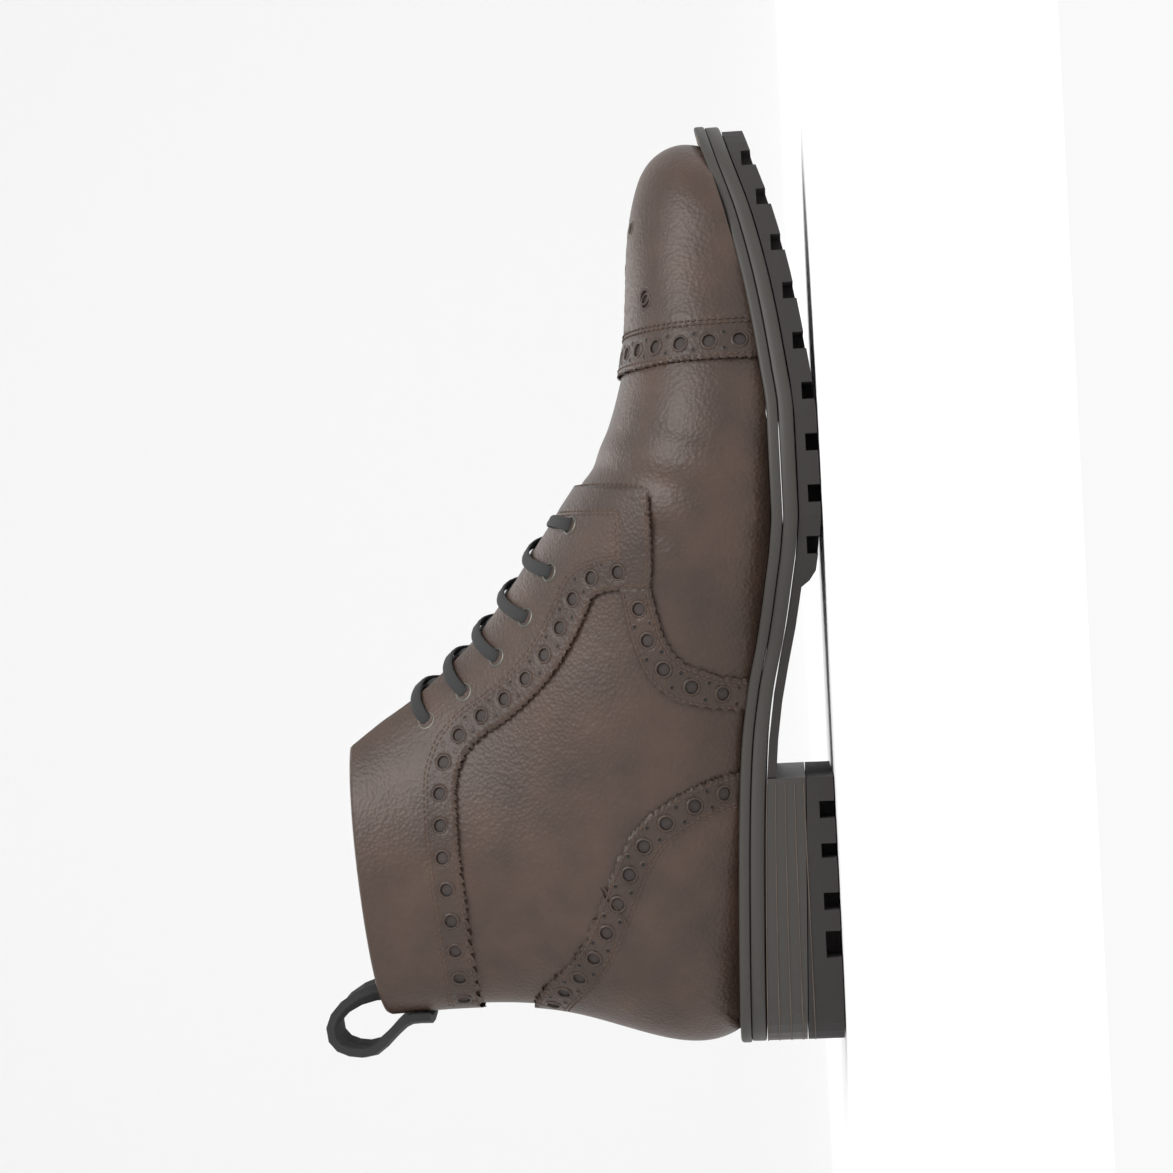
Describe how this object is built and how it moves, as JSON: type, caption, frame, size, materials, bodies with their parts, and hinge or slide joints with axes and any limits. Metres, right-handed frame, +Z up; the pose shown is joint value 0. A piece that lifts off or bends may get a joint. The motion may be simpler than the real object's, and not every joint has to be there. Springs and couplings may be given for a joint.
{
  "type": "brogue ankle boot",
  "caption": "Lace-up leather ankle boot with a punched toe cap, facings, wing strips and counter, a stacked heel, a lugged rubber sole and a pull loop at the collar.",
  "frame": {"origin": "middle of the heel's tread, on the floor that the boot stands on", "axes": "+X to the toe, +Y to the inner (medial) side, +Z up"},
  "size_m": [0.3051, 0.1107, 0.1716],
  "materials": {
    "brown_leather": "waxed grain, satin",
    "tongue_leather": "satin",
    "lining_leather": "matt black",
    "webbing": "woven black webbing",
    "edge_leather": "inked and waxed edge",
    "sole_rubber": "matt",
    "eyelet_metal": "dark gunmetal",
    "lace_cotton": "waxed cotton"
  },
  "bodies": {
    "root": {"counter": "brown_leather", "eyelet_lateral_1": "eyelet_metal", "eyelet_lateral_2": "eyelet_metal", "eyelet_lateral_3": "eyelet_metal", "eyelet_lateral_4": "eyelet_metal", "eyelet_lateral_5": "eyelet_metal", "eyelet_lateral_6": "eyelet_metal", "eyelet_medial_1": "eyelet_metal", "eyelet_medial_2": "eyelet_metal", "eyelet_medial_3": "eyelet_metal", "eyelet_medial_4": "eyelet_metal", "eyelet_medial_5": "eyelet_metal", "eyelet_medial_6": "eyelet_metal", "facing_lateral": "brown_leather", "facing_medial": "brown_leather", "heel_stack": "edge_leather", "heel_top_piece": "sole_rubber", "insole": "lining_leather", "lace_bar": "lace_cotton", "lace_cross_1": "lace_cotton", "lace_cross_2": "lace_cotton", "lace_cross_3": "lace_cotton", "lace_cross_4": "lace_cotton", "lace_cross_5": "lace_cotton", "midsole": "edge_leather", "outsole": "sole_rubber", "pull_loop": "webbing", "toe_cap": "brown_leather", "tongue": "tongue_leather", "upper": "brown_leather", "welt": "edge_leather", "wing_lateral": "brown_leather", "wing_medial": "brown_leather"}
  },
  "joints": []
}
